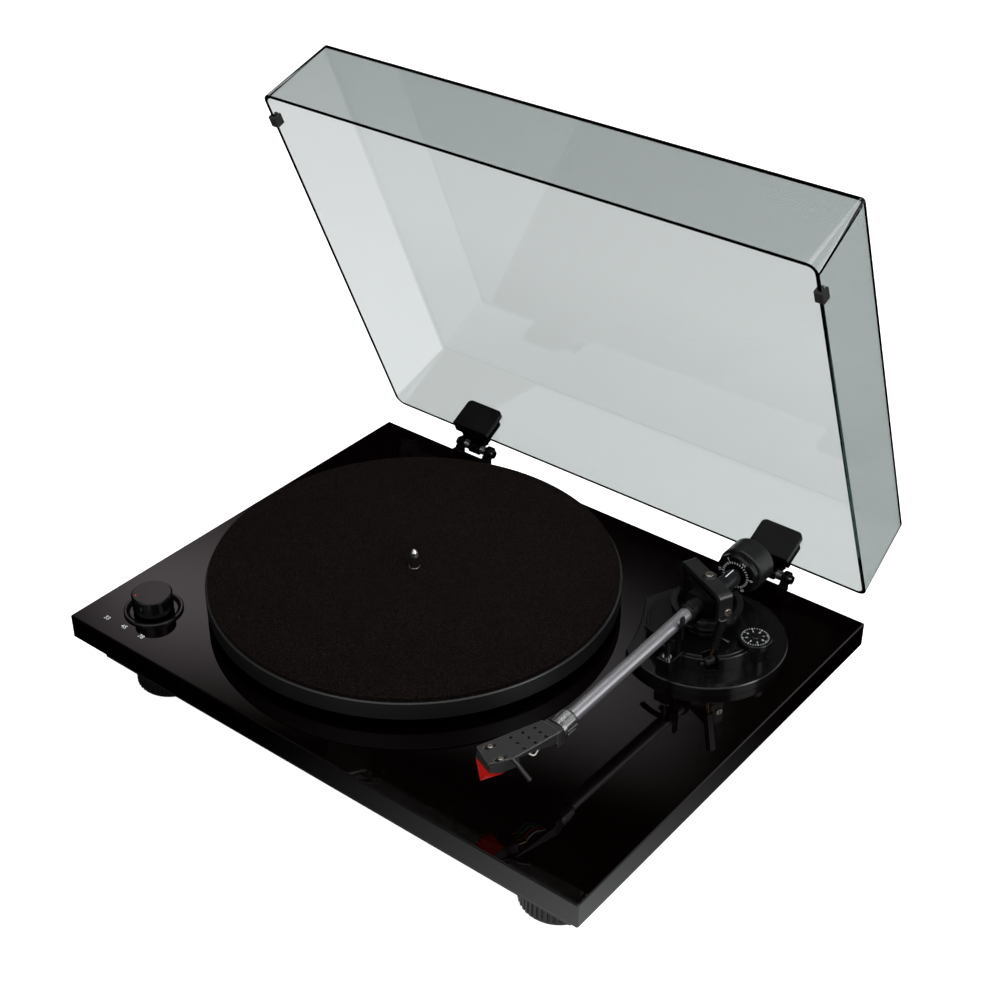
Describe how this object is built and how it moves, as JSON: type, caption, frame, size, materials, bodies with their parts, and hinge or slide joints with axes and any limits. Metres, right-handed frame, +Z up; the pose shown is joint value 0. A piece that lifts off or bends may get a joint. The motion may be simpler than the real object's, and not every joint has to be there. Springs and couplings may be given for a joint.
{
  "type": "turntable record player",
  "caption": "Belt-drive record player with two-layer gloss plinth, felt-topped platter, straight gimbal tonearm with counterweight, speed knob, cueing lever and hinged clear dust cover.",
  "frame": {"origin": "centre of the overall footprint with the dust cover open, on the plane the feet stand on", "axes": "+X towards the tonearm side, +Y towards the dust-cover hinges, +Z up"},
  "size_m": [0.45, 0.4073, 0.4068],
  "materials": {
    "lacquered_board": "high-gloss black lacquer on dense fibreboard",
    "satin_board": "satin black paint on fibreboard",
    "hardboard": "dark hardboard",
    "black_oxide": "black oxide steel screws",
    "satin_plastic": "satin black plastic",
    "gloss_plastic": "gloss black plastic",
    "rubber": "black rubber",
    "belt_rubber": "ground rubber belt",
    "zinc_steel": "zinc plated steel",
    "chrome": "polished chrome plate",
    "spindle_steel": "ground and polished steel",
    "brass": "bearing brass",
    "gold_contact": "gold flashed contacts",
    "green_board": "glass-epoxy circuit board",
    "platter_black": "satin black anodised aluminium",
    "felt": "pressed charcoal felt",
    "black_aluminium": "satin black anodised aluminium",
    "grey_aluminium": "grey satin anodised aluminium tube",
    "bright_aluminium": "turned aluminium",
    "dark_grey_plastic": "dark grey moulded plastic",
    "shell_grey": "dark grey anodised aluminium",
    "red_clear": "clear red moulded plastic",
    "smoked_acrylic": "smoked clear acrylic",
    "wire_sleeve": "four coloured wire sleeves"
  },
  "bodies": {
    "plinth": {"top_plinth": "lacquered_board", "lower_plinth": "satin_board", "base_cover": "hardboard", "frame_screws": "black_oxide", "feet": "satin_plastic", "foot_pads": "rubber", "foot_bolts": "zinc_steel", "terminal_panel": "satin_plastic", "rca_jacks": "gold_contact", "ground_post": "zinc_steel", "dc_inlet": "gloss_plastic", "control_board": "green_board", "bearing_housing": "bright_aluminium", "bearing_bush": "brass", "thrust_ball": "chrome", "motor_body": "zinc_steel", "motor_plate": "black_oxide", "drive_belt": "belt_rubber", "speed_switch": "dark_grey_plastic", "knob_ring": "gloss_plastic", "arm_base": "black_aluminium", "arm_housing": "satin_plastic", "arm_column": "black_aluminium", "arm_rest": "satin_plastic", "lift_cylinder": "chrome", "hinge_brackets": "satin_plastic", "hinge_pins": "chrome", "hinge_springs": "zinc_steel"},
    "platter_assembly": {"sub_platter": "satin_plastic", "spindle": "spindle_steel", "platter": "platter_black", "slip_mat": "felt"},
    "motor_rotor": {"motor_shaft": "spindle_steel", "motor_pulley": "bright_aluminium"},
    "speed_selector": {"speed_knob": "black_aluminium"},
    "arm_yoke": {"yoke": "black_aluminium", "yoke_cup": "satin_plastic", "yoke_screws": "zinc_steel", "bias_pin": "chrome"},
    "arm": {"gimbal_block": "satin_plastic", "arm_tube": "grey_aluminium", "tube_collar": "dark_grey_plastic", "rear_stub": "black_aluminium", "headshell": "shell_grey", "finger_lift": "shell_grey", "cartridge_body": "dark_grey_plastic", "stylus_guard": "red_clear", "cartridge_screws": "black_oxide", "headshell_wires": "wire_sleeve"},
    "headshell_collar": {"headshell_nut": "bright_aluminium"},
    "weight_carrier": {"weight_sleeve": "satin_plastic"},
    "weight": {"counterweight": "black_oxide"},
    "force_scale": {"scale_ring": "satin_plastic"},
    "antiskate": {"antiskate_dial": "satin_plastic"},
    "cue": {"cue_lever": "chrome", "cue_handle": "gloss_plastic"},
    "lift": {"lift_bar": "chrome"},
    "cover": {"dust_cover": "smoked_acrylic", "cover_clips": "satin_plastic", "cover_bumpers": "rubber"}
  },
  "joints": [
    {"name": "platter_spin", "type": "hinge", "parent": "plinth", "child": "platter_assembly", "pos_m": [-0.0502, -0.0295, 0.082], "axis": [0, 0, 1], "continuous": true},
    {"name": "motor_spin", "type": "hinge", "parent": "plinth", "child": "motor_rotor", "pos_m": [-0.112, -0.092, 0.07], "axis": [0, 0, 1], "continuous": true},
    {"name": "knob_turn", "type": "hinge", "parent": "plinth", "child": "speed_selector", "pos_m": [-0.183, -0.1625, 0.07], "axis": [0, 0, 1], "range_deg": [0, 64]},
    {"name": "arm_swing", "type": "hinge", "parent": "plinth", "child": "arm_yoke", "pos_m": [0.1475, 0.05, 0.075], "axis": [0, 0, 1], "range_deg": [-48, 0]},
    {"name": "arm_lift", "type": "hinge", "parent": "arm_yoke", "child": "arm", "pos_m": [0.1475, 0.05, 0.1065], "axis": [-0.9063, 0.4226, 0], "range_deg": [0, 4]},
    {"name": "collar_turn", "type": "hinge", "parent": "arm", "child": "headshell_collar", "pos_m": [0.1475, -0.11591, 0.1007], "axis": [0, 0.9997, 0.0253], "range_deg": [0, 60]},
    {"name": "weight_turn", "type": "hinge", "parent": "weight_carrier", "child": "weight", "pos_m": [0.1475, 0.10014, 0.10147], "axis": [0, 0.9997, 0.0253], "range_deg": [-360, 720]},
    {"name": "weight_slide", "type": "slide", "parent": "arm", "child": "weight_carrier", "axis": [0, 0.9997, 0.0253], "range_m": [-0.0021, 0.0042]},
    {"name": "scale_turn", "type": "hinge", "parent": "weight_carrier", "child": "force_scale", "pos_m": [0.1475, 0.08815, 0.10116], "axis": [0, 0.9997, 0.0253], "range_deg": [-180, 180]},
    {"name": "antiskate_turn", "type": "hinge", "parent": "plinth", "child": "antiskate", "pos_m": [0.1857, 0.0527, 0.082], "axis": [0, 0, 1], "range_deg": [0, 270]},
    {"name": "cue_turn", "type": "hinge", "parent": "plinth", "child": "cue", "pos_m": [0.1698, 0.02, 0.077], "axis": [0.3891, 0.9212, 0], "range_deg": [0, 55]},
    {"name": "lift_slide", "type": "slide", "parent": "plinth", "child": "lift", "axis": [0, 0, 1], "range_m": [-0.0052, 0]},
    {"name": "cover_hinge", "type": "hinge", "parent": "plinth", "child": "cover", "pos_m": [0, 0.152, 0.0636], "axis": [-1, 0, 0], "range_deg": [-67.2, 5]}
  ],
  "couplings": [
    {"joint": "motor_spin", "follows": "platter_spin", "ratio": 10},
    {"joint": "weight_slide", "follows": "weight_turn", "m_per_rad": 0.00031831},
    {"joint": "lift_slide", "follows": "cue_turn", "m_per_rad": -0.0052087}
  ]
}
